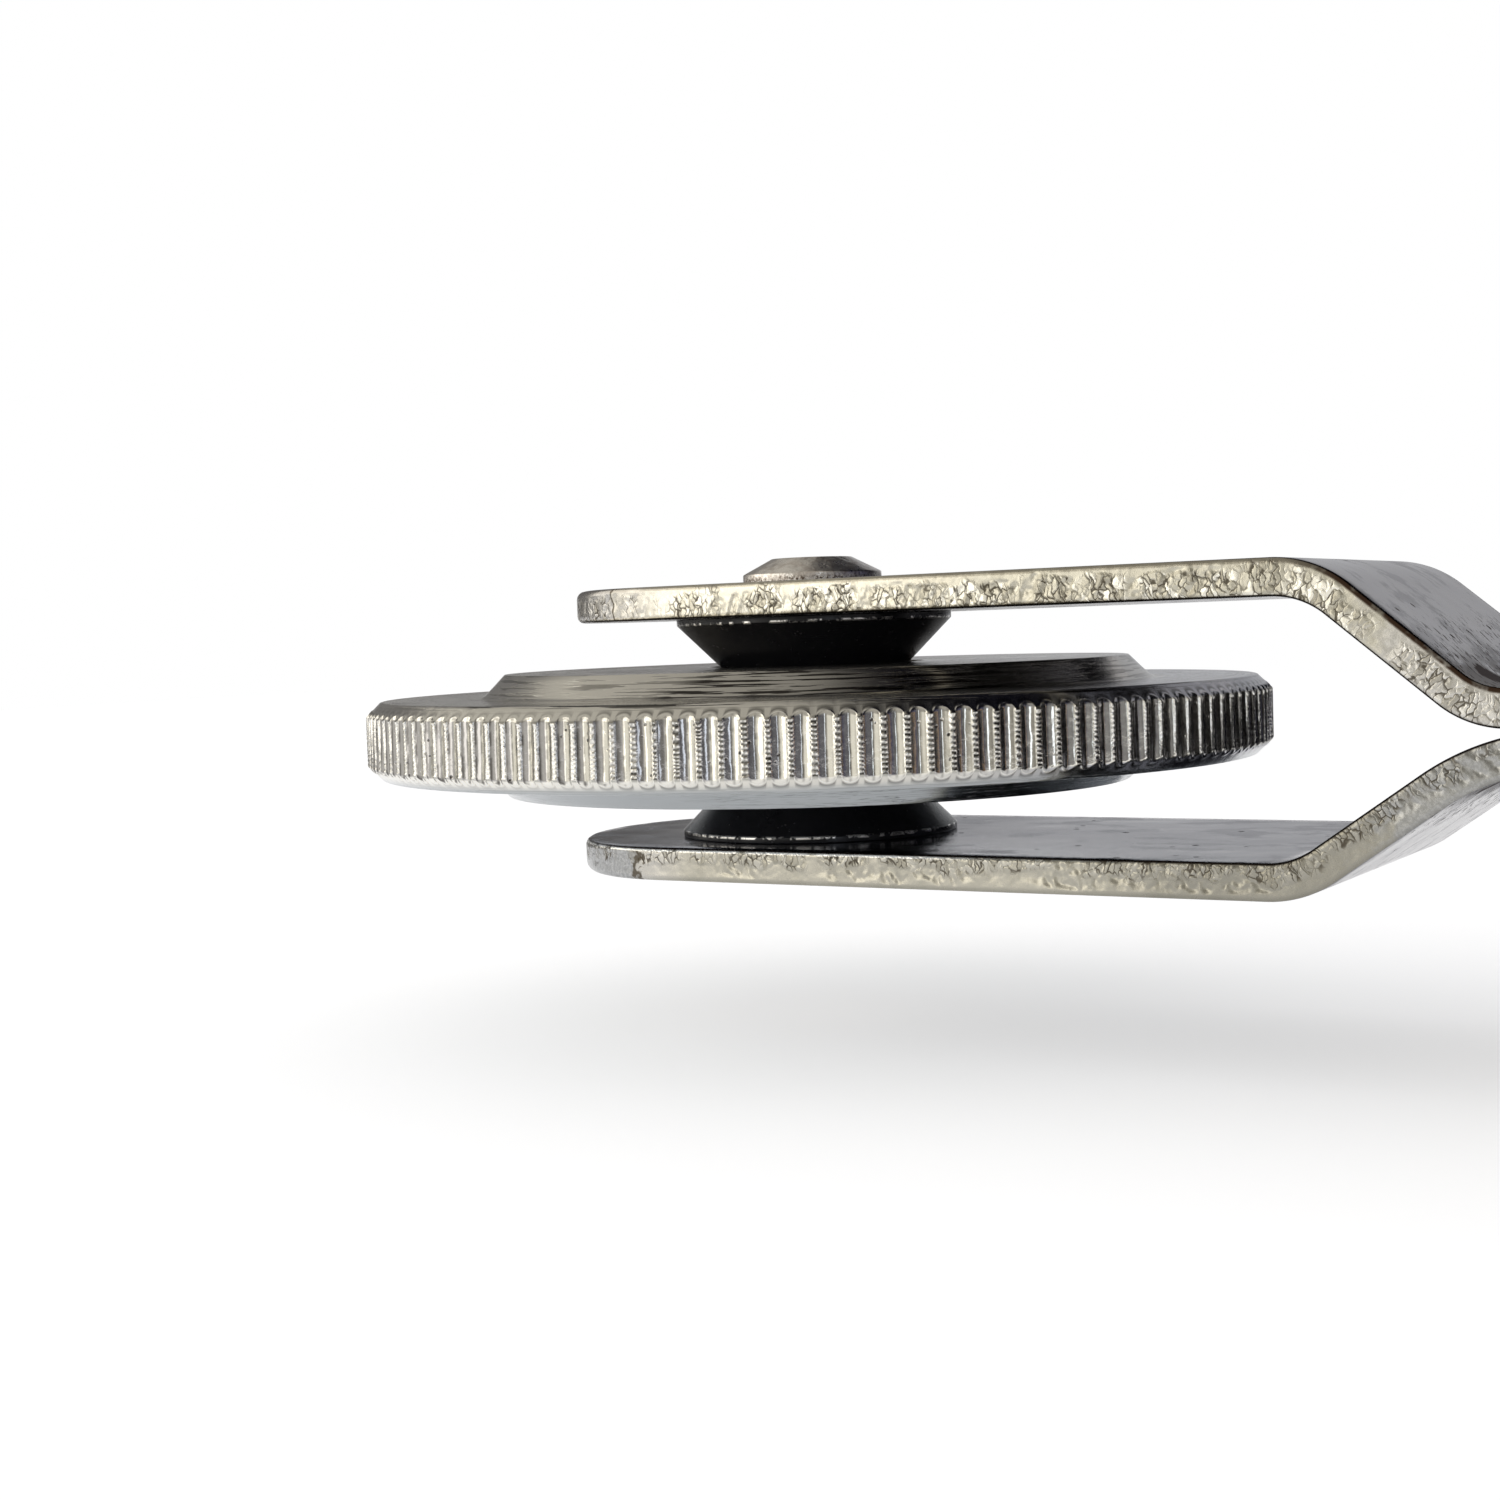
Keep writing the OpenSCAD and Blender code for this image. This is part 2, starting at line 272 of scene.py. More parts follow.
# Each tooth has twelve columns of points: the middle and right edge of its ridge, nine in the groove,
# and the left edge of the next ridge. The rolled teeth differ a little in depth and place.
rng = np.random.default_rng(11)
pitch = 2 * math.pi / teeth
ridge = ridge_w / wheel_r
groove = pitch - ridge
tooth_depth = 1 - 0.16 * rng.random(teeth)
tooth_shift = rng.normal(0, 0.016, teeth) / wheel_r
groove_places = (-0.95, -0.78, -0.52, -0.26, 0.0, 0.26, 0.52, 0.78, 0.95)
knurl = []
for tooth in range(teeth):
    start, shift = tooth * pitch, tooth_shift[tooth]
    deepest = knurl_depth * tooth_depth[tooth]
    knurl.append((start, 0.0, 1.0, -1.0))
    knurl.append((start + ridge / 2 + shift, crest_fall, 1.0, -1.0))
    for across in groove_places:
        angle = start + pitch / 2 + groove * across / 2 + shift * abs(across)
        depth = crest_fall + (deepest - crest_fall) * (1 - abs(across) ** 1.5)
        knurl.append((angle, depth, 0.0, across))
    knurl.append((start + pitch - ridge / 2 + shift, crest_fall, 1.0, 1.0))
angles, depths, on_ridge, spread = map(np.array, zip(*knurl))
columns = len(knurl)
per_tooth = columns // teeth

# The barrel of the rim reaches from the lower bevel to the upper one. Each groove runs out on the
# bevels in an arch with a burr round it. Round one part of the rim the ridges are torn into beads, and
# round another they are plain. The random cells meet at a seam on the far side.
barrel_rings = 58
bead_l, bead_depth = 0.185, 0.05
burr_h, arch_edge, arch_lip = 0.035, 0.012, 0.008
beaded_at, plain_at = -0.94, 0.61
seam_at, seam_shift = 2.1, 80
cells_per_tooth = 5.0
box_gap = 0.002
arch = arch_h * np.sqrt(1 - spread ** 2)
end_z = rim_z - bevel + arch
end_r = wheel_r - arch
share = np.linspace(-1, 1, barrel_rings)[:, None]
along = np.where(angles > seam_at, angles - 2 * math.pi, angles) * wheel_r + seam_shift
u, v = np.broadcast_arrays(along[None], share * end_z)
tooth_of = np.broadcast_to(((np.arange(columns) + 1) // per_tooth)[None], u.shape) * cells_per_tooth
plain = smooth(0.36, 0.52, np.cos(angles - plain_at))
beaded = smooth(0.80, 0.92, np.cos(angles - beaded_at))
beads = 1 - np.abs(np.sin(math.pi * (v / bead_l + 2.0 * noise_sheet(tooth_of, v, 1, 0.9, 12))))
beads = beads * (0.45 + 0.8 * noise_sheet(tooth_of, v, 1, 0.4, 13))
beads = beads + 0.35 * noise_sheet(u, v, 0.1, 0.09, 14)
beads = beads * ((0.3 + 0.7 * beaded) * (1 - 0.7 * plain))
lean = 0.02 * noise_sheet(u, v, 0.5, 1.05, 15) + 0.02 * share
dimples = 0.012 * noise_sheet(u, v, 0.25, 0.35, 16) + 0.004 * noise_sheet(u, v, 0.1, 0.12, 17)
barrel_r = wheel_r - depths - bead_depth * beads * on_ridge - (lean + dimples) * (1 - on_ridge)
fall = np.clip((np.abs(share) - 0.88) / 0.12, 0, 1) ** 2.5
burr = smooth(0.955, 1.0, np.abs(share)) * smooth(0.05, 0.2, arch)
barrel_r = barrel_r * (1 - fall) + end_r * fall + burr_h * burr
barrel_r = np.minimum(barrel_r, wheel_r - box_gap)
barrel = polar(barrel_r, share * (end_z - arch_edge), angles)

bevel_r = wheel_r - bevel
bevel_rings = []
for part in (0.03, 0.2, 0.6, 0.9):
    ring_z = end_z + arch_lip + (rim_z - end_z) * part - arch_lip * part
    bevel_rings.append((end_r - arch_edge - (end_r - bevel_r) * part, ring_z))
bevel_rings += [(bevel_r - 0.015, rim_z - 0.014), (bevel_r - 0.07, rim_z), (bevel_r - 0.16, rim_z)]
upper = [polar(r, z, angles) for r, z in bevel_rings]
lower = [polar(r, -z, angles) for r, z in reversed(bevel_rings)]
fine = np.concatenate(lower + [barrel] + upper)
fine_rings = len(fine) // columns

# Burrs, ridges and their edges are painted bright, partly as plate rubbed bright and partly as painted
# highlight.
# The pits of the ridges, the walls and floors of the grooves, their ends and the rings round the arches
# are painted dark, partly as dirt and partly as painted shade in these hollows.
torn = smooth(0.35, 0.6, noise_sheet(u, v, 0.2, 0.22, 18))
wall_patches = smooth(0.35, 0.6, noise_sheet(u, v, 0.3, 0.4, 19))
from_floor = np.abs(spread)
crest_line = on_ridge * (depths < 0.01)
ridge_edge = smooth(0.85, 0.99, from_floor) * (1 - smooth(0.0, 0.02, crest_fall - depths))
wall_strip = smooth(0.5, 0.75, from_floor) * (1 - smooth(0.82, 0.95, from_floor))
floor_line = smooth(0.8, 0.95, 1 - from_floor)
bead_tops = smooth(0.45, 0.8, 1 - beads)
bead_pits = smooth(0.35, 0.75, beads)
low_end = smooth(0.80, 0.90, -share) * (1 - smooth(0.94, 0.98, -share)) * (spread < 0.5)
top_end = smooth(0.78, 0.92, share) * (1 - smooth(0.95, 0.99, share)) * (spread > -0.5)
groove_ends = (low_end * torn + 0.7 * top_end * (1 - torn)) * (1 - on_ridge)

# Painted highlight, partly rubbed plate: burrs, crests and ridge edges are made bright.
bright = burr * (0.3 + 0.7 * beaded) * (0.5 + 0.5 * torn)
bright = bright + crest_line * (0.65 - 0.5 * beaded) * (1 - plain)
bright = bright + ridge_edge * ((1 - beaded) * (0.3 + 0.7 * torn) + beaded * bead_tops)
# Painted shade, partly dirt: crests, bead pits, groove floors, groove walls and groove ends are made
# dark.
dirt_and_shade = crest_line * (0.7 * beaded + 0.5 * plain) + on_ridge * beaded * bead_pits
dirt_and_shade = dirt_and_shade + 0.5 * floor_line * torn
dirt_and_shade = dirt_and_shade + (1 - 0.6 * plain) * (1 - 0.6 * beaded) * wall_strip * (0.4 + 0.6 * wall_patches)
dirt_and_shade = dirt_and_shade + groove_ends * (1 - beaded) * (1 - 0.7 * plain)

bevel_count = len(bevel_rings)
both_bevels = ((bevel_count, bevel_count), (0, 0))
bright = np.pad(bright, both_bevels)
dirt_and_shade = np.pad(np.clip(dirt_and_shade, 0, 1), both_bevels)
low_edge, top_edge = bevel_count - 1, bevel_count + barrel_rings
# The rings round the arches also get painted shade with some dirt.
round_arches = (0.3 + 0.5 * np.maximum(beaded, plain)) * smooth(0.05, 0.15, arch)
dirt_and_shade[[low_edge - 1, top_edge + 1]] = round_arches
dirt_and_shade[[low_edge, top_edge]] = 0.3 * on_ridge

# The turned faces and the bore are coarser, with the fine steps that the tool left on them. Three
# corners that lie on flat faces only break these up.
every = 6
flat_breaks = (16.6, 11.0, 8.0)
feed, tool_mark = 0.28, 0.012
bore_steps = 17
hub_angles = angles[::every]
hub_columns = len(hub_angles)
meet_z = math.sqrt(ball_groove_r ** 2 - (mouth_r - ball_ring_r) ** 2)
outline = rounded(
    [
        (bevel_r - 0.3, rim_z, 0),
        (flat_breaks[0], rim_z, 0),
        (foot_r, rim_z, 0.45),
        (boss_r, boss_z, 0.1),
        (flat_breaks[1], boss_z, 0),
        (flat_breaks[2], boss_z, 0),
        (mouth_r + mouth_bevel, boss_z, 0.04),
        (mouth_r, boss_z - mouth_bevel, 0.04),
        (mouth_r, meet_z, 0),
    ],
    steps=5,
)
side = []
for (r0, z0), (r1, z1) in zip(outline, outline[1:] + outline[-1:]):
    steps = max(1, round(math.hypot(r1 - r0, z1 - z0) / feed))
    side += [(r0 + (r1 - r0) * k / steps, z0 + (z1 - z0) * k / steps) for k in range(steps)]
side = np.array(side)
tooled = (side[:, 0] < foot_r) & (side[:, 0] > mouth_r + 0.4) & (side[:, 1] > rim_z + 0.02)
side[:, 1] -= rng.random(len(side)) * tool_mark * tooled
bore_end = math.atan2(meet_z, mouth_r - ball_ring_r)
bore = [
    (ball_ring_r + ball_groove_r * math.cos(a), ball_groove_r * math.sin(a))
    for a in np.linspace(1, -1, bore_steps) * bore_end
]
section = np.concatenate((side[:-1], bore, side[:-1][::-1] * (1, -1)))
hub = polar(section[:, :1], section[:, 1:], hub_angles)

hub_first = len(fine)
hub_last = hub_first + (len(section) - 1) * hub_columns
faces = rings_to_faces(fine_rings, columns)
faces += rings_to_faces(len(section), hub_columns, hub_first)
for k in range(hub_columns):
    n = (k + 1) % hub_columns
    run = [(k * every + i) % columns for i in range(every + 1)]
    faces.append([(fine_rings - 1) * columns + i for i in run] + [hub_first + n, hub_first + k])
    faces.append([hub_last + k, hub_last + n] + run[::-1])

# The side that was pressed most is scored in arcs. The half of the plate towards the side a quarter
# turn on from it is painted darker as shade, with nearly black grooves at its far end, and the opposite
# half is painted paler as lit plate.
scored_way, shaded_way = (0.52, -0.854), (0.857, 0.515)
lit_plate = (0.88, 0.86, 0.80)
plate, place = finish("turned nickel plate")
x, y, z = place.parts()
radius = (x * x + y * y) ** 0.5
turn = y.math("ARCTAN2", x)
to_scored = x * scored_way[0] + y * scored_way[1]
to_shaded_side = x * shaded_way[0] + y * shaded_way[1]
on_rim = radius.step(18.3, 18.7)
off_rim = 1 - on_rim
on_barrel = (1.12 - abs(z)).step(0.0, 0.08) * on_rim
off_barrel = 1 - on_barrel
crest = (turn * teeth).math("COSINE").step(0.35, 0.75) * on_barrel
turning = place.vector(radius * 7, z * 7, turn * 1.5).noise(1.0, 4, 0.6)
arcs = place.vector(radius * 8, z * 8, turn * 3.2).noise(1.0, 3, 0.6)
patches = place.noise(0.16).step(0.30, 0.5)
worked = to_scored.step(12.2, 13.2) * off_rim
scores = arcs.step(0.52, 0.545) * (patches * 0.7 * off_rim + worked)
grain = place.noise(9, 3, 0.6)
blots = place.noise(3.2, 3, 0.6)
specks = (1 - place.cells(2.6).step(0.10, 0.2)) * place.noise(1.4, 1).step(0.48, 0.6) * on_barrel
cloud = place.noise(0.5)
# The wheel's points carry painted highlight, painted shade with dirt, and the side of each groove.
rubbed_and_highlit, dirt_shade_mask, wall = carried(place, "wear_and_light").parts()
on_wall = abs(wall).step(0.02, 0.2) * on_barrel
# Painted shade: the grooves on the far shaded side are painted nearly black.
painted_dark_groove = to_shaded_side.step(13, 17) * (1 - crest) * on_barrel

# Painted shade: rim and boss darken towards the shaded side, and the opposite side is painted as lit
# plate.
shaded_half = to_shaded_side.step(-13, 1)
shaded_rim = to_shaded_side.step(2, 11).mix((0.72, 0.70, 0.65), (0.36, 0.365, 0.40))
rim_tone = shaded_half.mix(lit_plate, shaded_rim)
boss_tone = shaded_half.mix(lit_plate, (0.50, 0.485, 0.455))
# Painted light and shade on the groove walls: one side of each groove is painted dark as shade, the
# other pale cream as lit.
wall_lit_and_shaded = wall.step(-0.12, 0.12).mix((0.40, 0.39, 0.40), (0.86, 0.83, 0.74))
shade = (blots.step(0.35, 0.7) * on_barrel).mix(nickel, (0.56, 0.55, 0.50))
shade = off_barrel.mix(shade, rim_tone)
shade = (1 - radius.step(14.2, 15)).mix(shade, boss_tone)
shade = (scores * 0.75 + worked * 0.15).mix(shade, grime_and_shade)
shade = (on_wall * 0.75).mix(shade, wall_lit_and_shaded)
# Painted shade with dirt in the hollows of the knurl, and dark specks.
shade = (dirt_shade_mask * 0.9 + specks * 0.8).mix(shade, grime_and_shade)
shade = (painted_dark_groove * 0.7).mix(shade, (0.05, 0.05, 0.065))
# Painted highlight, partly rubbed plate, on the burrs and ridge edges.
shade = rubbed_and_highlit.mix(shade, (0.95, 0.93, 0.88))
# Painted shade: the underside of the wheel is painted darker and bluer.
shade = (-z).step(1.2, 1.6).mix(shade, (0.42, 0.44, 0.455))
turned_height = off_rim * (turning * 0.4 - scores * 0.8)
knurl_height = on_barrel * (blots * 0.5 + crest * grain * 1.2 - specks)
surface(
    place,
    Base_Color=shade,
    Metallic=1.0,
    Roughness=0.08 + off_barrel * 0.05 + turning * 0.05 + cloud * 0.06 + rubbed_and_highlit * 0.10,
    Normal=(turned_height + knurl_height).bump(0.014),
)
points = np.concatenate((fine, hub))
wheel = piece("wheel", points, faces, "wheel", [plate], sharp=50)
wear_and_light = np.zeros((len(points), 3))
groove_side = np.broadcast_to(spread * (1 - on_ridge), bright.shape)
wear_and_light[:len(fine)] = np.stack((bright, dirt_and_shade, groove_side), -1).reshape(-1, 3)
carry(wheel, "wear_and_light", wear_and_light)

# ---- Balls ----
# Seven loose bearing balls of hard chromium steel, ground and polished, packed into the bore between
# the wheel's groove and the two cones with a little grease.

ball_steel, place = finish("polished ball steel")
scuff = place.noise(6, 4, 0.6)
surface(
    place,
    Base_Color=scuff.step(0.45, 0.8).mix((0.70, 0.70, 0.71), (0.58, 0.57, 0.56)),
    Metallic=1.0,
    Roughness=0.05 + scuff * 0.12,
)
for number in range(1, 8):
    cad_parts[f"ball_{number}"].data.materials[0] = ball_steel

# ---- Bearing cones ----
# Two cones of hardened, blacked steel with a thin lip. They stand with their lips against the arms and
# are held still by the axle rivet while the balls run on their 45 degree flanks.

axle_bore = 1.62
nose_r, nose_round = 2.148, 0.05
cone_base = 1.498
arm_z = 4.6
lip_z = 4.35
lip_r = cone_base + lip_z
upper_outline = rounded(
    [
        (axle_bore, 0, 0),
        (nose_r, 0, nose_round),
        (nose_r, nose_r - cone_base, nose_round),
        (cone_base + 2.2, 2.2, 0),
        (cone_base + 3.2, 3.2, 0),
        (lip_r, lip_z, 0.06),
        (lip_r, arm_z, 0.05),
        (axle_bore, arm_z, 0),
    ]
)
lower_outline = [(r, -h) for r, h in reversed(upper_outline)]


def turned(node, outline, count, made, closed=False, lying=False, at_x=0.0):
    """Turns an outline of (radius, height) round Z, or round X for a lying piece. An open outline
    gets a flat cap on both its ends."""
    around = np.linspace(0, 2 * math.pi, count, endpoint=False)
    radii, heights = np.array(outline).T
    points = polar(radii[:, None], heights[:, None], around)
    faces = rings_to_faces(len(outline), count, closed=closed)
    if not closed:
        last_ring = (len(outline) - 1) * count
        faces += [list(range(count))[::-1], [last_ring + k for k in range(count)]]
    if lying:
        points = np.stack((points[:, 2], points[:, 1], -points[:, 0]), -1)
    piece(node, points + (at_x, 0, 0), faces, "fork", [made])


black, place = finish("blacked steel")
x, y, z = place.parts()
from_axle = (x * x + y * y) ** 0.5
lines = place.vector(from_axle * 9, z * 9, 0).noise(1.0, 3)
worn = place.noise(3.5, 4, 0.65).step(0.62, 0.8)
# Painted highlight, partly bare steel worn through: broken bright dashes round the edge of each lip.
lip_wear_and_highlight = from_axle.step(lip_r - 0.058, lip_r - 0.018) * (lip_z + 0.1 - abs(z)).step(0.0, 0.04)
lip_wear_and_highlight = lip_wear_and_highlight * place.noise(1.6, 3, 0.7).step(0.47, 0.56)
black_tone = (worn * 0.35).mix((0.012, 0.012, 0.014), (0.10, 0.095, 0.09))
surface(
    place,
    Base_Color=lip_wear_and_highlight.mix(black_tone, (0.75, 0.73, 0.70)),
    Metallic=lip_wear_and_highlight,
    Roughness=0.20 + lines * 0.08 + worn * 0.2,
    Normal=lines.bump(0.002),
    Specular_IOR_Level=0.35,
)
turned("upper_cone", upper_outline, 144, black, closed=True)
turned("lower_cone", lower_outline, 144, black, closed=True)

# ---- Arms of the fork ----
# Two blanks sheared from bright steel strip, bent twice and nickel plated. Their flat faces are smooth,
# and their edges keep the smooth cut and the torn break that the shear left.

strip_t, half_w = 1.35, 8.0
tip_reach, tip_r, corner_r = 10.4, 8.5, 7.0
bend_r = 2.9
taper_x, tang_x, tang_end = 40.202, 43.702, 70.702
tang_half = 5.5
edge_round = 0.17
face_inset = 0.8
tip_steps, corner_steps = 120, 90
fine_step, tang_step = 0.06, 0.5


def bent(s, h, bend_x, slope, neck_r):
    """Place (x, z) of a point of the upper arm, s along the strip and h out from its middle, and how
    much further the strip runs than its x."""
    slope = math.radians(slope)
    lean = math.tan(slope / 2)
    r1, r2 = bend_r + strip_t / 2, neck_r + strip_t / 2
    ramp = arm_z / math.sin(slope) - (bend_r + neck_r + strip_t) * lean
    s1 = bend_x - bend_r * lean
    s2 = s1 + r1 * slope
    s3 = s2 + ramp
    s4 = s3 + r2 * slope
    neck = bend_x + arm_z / math.tan(slope) + (neck_r + strip_t) * lean
    first = np.clip((s - s1) / r1, 0, slope)
    second = np.clip((s - s3) / r2, 0, slope)
    down = np.clip(s - s2, 0, ramp)
    x = np.minimum(s, s1) + r1 * np.sin(first) + down * math.cos(slope)
    x += r2 * (math.sin(slope) - np.sin(slope - second)) + np.maximum(s - s4, 0)
    z = arm_z + strip_t / 2 - r1 * (1 - np.cos(first)) - down * math.sin(slope)
    z -= r2 * (np.cos(slope - second) - math.cos(slope))
    turn = first - second
    return x + np.sin(turn) * h, z + np.cos(turn) * h, s4 - neck


def half_outline(extra):
    """Points (s, y) and outward directions along one side of the blank, from its tip to its end."""
    tip_c = tip_r - tip_reach
    corner_y = half_w - corner_r
    corner_x = tip_c - math.sqrt((tip_r - corner_r) ** 2 - corner_y ** 2)
    meet = math.pi - math.atan2(corner_y, tip_c - corner_x)
    rows = []
    for a in np.linspace(math.pi, meet, tip_steps):
        c, s = math.cos(a), math.sin(a)
        rows.append((tip_c + tip_r * c, tip_r * s, c, s))
    for a in np.linspace(meet, math.pi / 2, corner_steps)[1:]:
        c, s = math.cos(a), math.sin(a)
        rows.append((corner_x + corner_r * c, corner_y + corner_r * s, c, s))
    taper_s = taper_x + extra
    rows += [(s, half_w, 0, 1) for s in np.arange(corner_x + fine_step, taper_s, fine_step)]
    taper_l, taper_w = tang_x - taper_x, half_w - tang_half
    across = math.hypot(taper_l, taper_w)
    for t in np.linspace(0, 1, 14):
        place = (taper_s + taper_l * t, half_w - taper_w * t)
        rows.append((*place, taper_w / across, taper_l / across))
    rows += [(s + extra, tang_half, 0, 1) for s in np.arange(tang_x + tang_step, tang_end, tang_step)]
    rows += [(tang_end + extra, tang_half, 0.7, 0.7)]
    rows += [(tang_end + extra, y, 1, 0) for y in np.linspace(tang_half, 0, 6)[1:]]
    return np.array(rows).T


def arm(node, side, bend_x, slope, neck_r, seed):
    """One arm. Its edge is a band of fine rows, torn in its break, and each face joins its two sides.
    Side 1 is the upper arm and -1 the lower."""
    s, y, ns, ny = half_outline(bent(np.zeros(1), 0, bend_x, slope, neck_r)[2])
    s, y = np.concatenate((s, s[-2:0:-1])), np.concatenate((y, -y[-2:0:-1]))
    ns, ny = np.concatenate((ns, ns[-2:0:-1])), np.concatenate((ny, -ny[-2:0:-1]))
    count = len(s)
    half = strip_t / 2
    tip = smooth(0.25, 0.8, -ns)
    inner, outer = edge_round + 0.12 * tip, edge_round + 0.18 * tip
    arc = np.linspace(0, math.pi / 2, 5)[:, None]
    band = np.linspace(0, 1, 18)[1:-1, None]
    face_row = np.full((1, count), face_inset)
    inset = [
        face_row,
        inner * (1 - np.sin(arc)),
        np.zeros((len(band), count)),
        outer * (1 - np.cos(arc)),
        face_row,
    ]
    height = [
        np.full((1, count), -half),
        inner * (1 - np.cos(arc)) - half,
        (inner - half) * (1 - band) + (half - outer) * band,
        half - outer * (1 - np.sin(arc)),
        np.full((1, count), half),
    ]
    inset, height = np.concatenate(inset), np.concatenate(height)

    run = np.concatenate(([0], np.cumsum(np.hypot(np.diff(s), np.diff(y)))))
    u, v = np.broadcast_arrays(run[None], height)
    wander = 0.5 * (noise_sheet(u, v, 1.1, 0.5, seed + 5) - 0.5)
    broken = smooth(-0.2, 0.1, 0.22 - v + wander)
    patch = 0.15 + 0.85 * smooth(0.35, 0.6, noise_sheet(u, 0 * v, 3.0, 1, seed + 4))
    folds = noise_sheet(u + 0.35 * v, v, 0.24, 0.5, seed)
    folds = folds + 0.4 * noise_sheet(u - 0.2 * v, v, 0.11, 0.2, seed + 1)
    tears = smooth(0.58, 0.68, folds) + smooth(0.85, 0.95, folds)
    waves = 0.010 * noise_sheet(u, v, 0.9, 3.0, seed + 2)
    crumbs = 0.006 * noise_sheet(u, v, 0.13, 0.16, seed + 3)
    cut = broken * patch * 0.022 * tears + waves + crumbs
    cut = cut * ((1 - smooth(0.0, 0.25, inset)) * (1 - 0.7 * tip))
    off = inset + cut
    px, pz, _ = bent(s - ns * off, height, bend_x, slope, neck_r)
    points = np.stack((px, y - ny * off, side * pz), -1).reshape(-1, 3)

    rows = len(inset)
    faces = rings_to_faces(rows, count)
    rolled_faces, edge_faces = 2 * count, len(faces)
    for base, flip in ((0, 1), ((rows - 1) * count, -1)):
        for k in range(count // 2):
            other, next_other = (count - k) % count, (count - k - 1) % count
            quad = [base + k, base + other, base + next_other, base + k + 1]
            faces.append(list(dict.fromkeys(quad))[::flip])
    if side > 0:
        faces = [face[::-1] for face in faces]
    kind = np.zeros(len(faces), int)
    kind[rolled_faces:edge_faces - rolled_faces] = 1
    finishes = [strip_face, sheared]
    thing = piece(node, points, faces, "fork", finishes, kind.tolist(), 40)
    carry(thing, "sheet", np.stack((u, v, np.full(u.shape, 9.0 * side)), -1))


strip_face, place = finish("plated strip")
spot_at = (29.3, -4.1, 0)
x, y, z = place.parts()
_, depth, _ = carried(place, "sheet").parts()
lower_arm = 1 - z.step(-0.05, 0.05)
cloud = place.noise(0.6, 4, 0.6)
smears = place.stretch(0.6, 0.9, 1).noise(0.6, 4, 0.65).step(0.5, 0.6)
streaks = place.stretch(0.25, 4, 1).noise(1.0, 4, 0.6)
pits = (1 - place.cells(0.8).step(0.06, 0.13)) * place.noise(0.8, 1).step(0.46, 0.56)
slant = place.vector((x - y) * 1.3, (x + y) * 5, z)
scratches = slant.noise(1.0, 3, 0.5).step(0.58, 0.64) * x.step(26.2, 28)
flat = place.stretch(1, 0.8, 0)
from_spot = flat.node("VectorMath", {"operation": "DISTANCE"}, {0: flat, 1: spot_at}, 1)
spot = 1 - (from_spot + place.noise(1.5) * 0.8).step(0.95, 1.12)
neck = x.step(27.6, 29.4) * (1 - x.step(30, 31.5)) * cloud.step(0.3, 0.55)
marks = (pits + scratches * 0.8 + spot + neck * 0.5).math("MINIMUM", 1.0)

# Painted shade: the lower arm is darker than the upper one. Its outer face is dark, and its inner face
# darkens towards the wheel as painted shade and painted reflection of the black cone.
upper_tone = cloud.step(0.3, 0.75).mix((0.55, 0.545, 0.555), (0.60, 0.59, 0.585))
inner_face_shade = x.step(5, 11.5).mix((0.27, 0.28, 0.315), (0.48, 0.49, 0.515))
lower_tone = depth.step(-0.1, 0.1).mix(inner_face_shade, (0.25, 0.252, 0.26))
tone = lower_arm.mix(upper_tone, lower_tone)
tone = (smears * 0.25).mix(tone, (0.36, 0.37, 0.40))
tone = marks.mix(tone, (0.05, 0.04, 0.04))
surface(
    place,
    Base_Color=tone,
    Metallic=1 - marks,
    Roughness=0.07 + cloud * 0.12 + smears * 0.10 + marks * 0.9,
    Specular_Tint=(0.79, 0.78, 0.785),
    Normal=(streaks * 0.03 - pits - scratches * 0.4).bump(0.006, place.noise(0.22, 2, 0.4).bump(0.10)),
)

# The marks of the shear run across the strip, so they are placed by the run along it and the depth
# in its thickness, which each arm carries as its sheet.
sheared, place = finish("sheared edge under plate")
x, _, z = place.parts()
sheet = carried(place, "sheet")
run, depth, arm_number = sheet.parts()
upper = z.step(-0.05, 0.05)
break_line = upper * 0.35 - 0.05 - depth + (place.noise(0.8) - 0.5) * 1.3
patch = (sheet.stretch(0.5, 0.1, 1).noise(1.0) + x.step(-1, 3) * 0.05).step(0.42, 0.54)
torn = break_line.step(-0.12, 0.12) * patch
swirl = {0: sheet.noise(2.2, out=1), 1: (0.5, 0.5, 0), 2: sheet}
chips = sheet.node("VectorMath", {"operation": "MULTIPLY_ADD"}, swirl).stretch(4.6, 2.5, 1)
chip_edge = chips.cells(1.0, "DISTANCE_TO_EDGE")
chip, lift, _ = chips.cells(1.0, out=1).parts()
cracks = (1 - chip_edge.step(0.03, 0.09)) * chips.noise(0.6).step(0.44, 0.52) * torn
crumbs = place.vector(run, depth * 0.8, arm_number).noise(7, 3, 0.65)
stain = place.noise(1.1, 3, 0.6)

# Along x come a grey tip with a dark line behind it, the straight run, the ramp and the dull tail. The
# grey tip and its dark line are painted shade where the rounded tip turns from the light, the edge is
# painted darker further along and on the lower arm's ramp as shade, and the lower arm's edge is painted
# darker than the upper one's throughout.
from_line = x + (stain - 0.5) * 2 + upper * 0.7 + 4.3
tip = 1 - from_line.step(-0.2, 0.1)
tip_line = 1 - abs(from_line - 0.05).step(0.05, 0.2)
pale = 1 - x.step(-4.5, -1.0)
onward = x.step(5, 13)
ramp = x.step(15, 19) * (1 - upper)
tail = (x + stain * 6).step(28, 30)
# Painted shade: dark lines along the rounded inner and outer corners of the edge.
inner_corner_shade = (-depth).step(0.575, 0.62)
outer_corner_shade = depth.step(0.44, 0.53) * upper * (0.25 + x.step(22.5, 25) * 0.75)
glint = (-depth).step(0.50, 0.53) * (1 - upper) * (1 - x.step(8, 12)) * stain.step(0.36, 0.46)

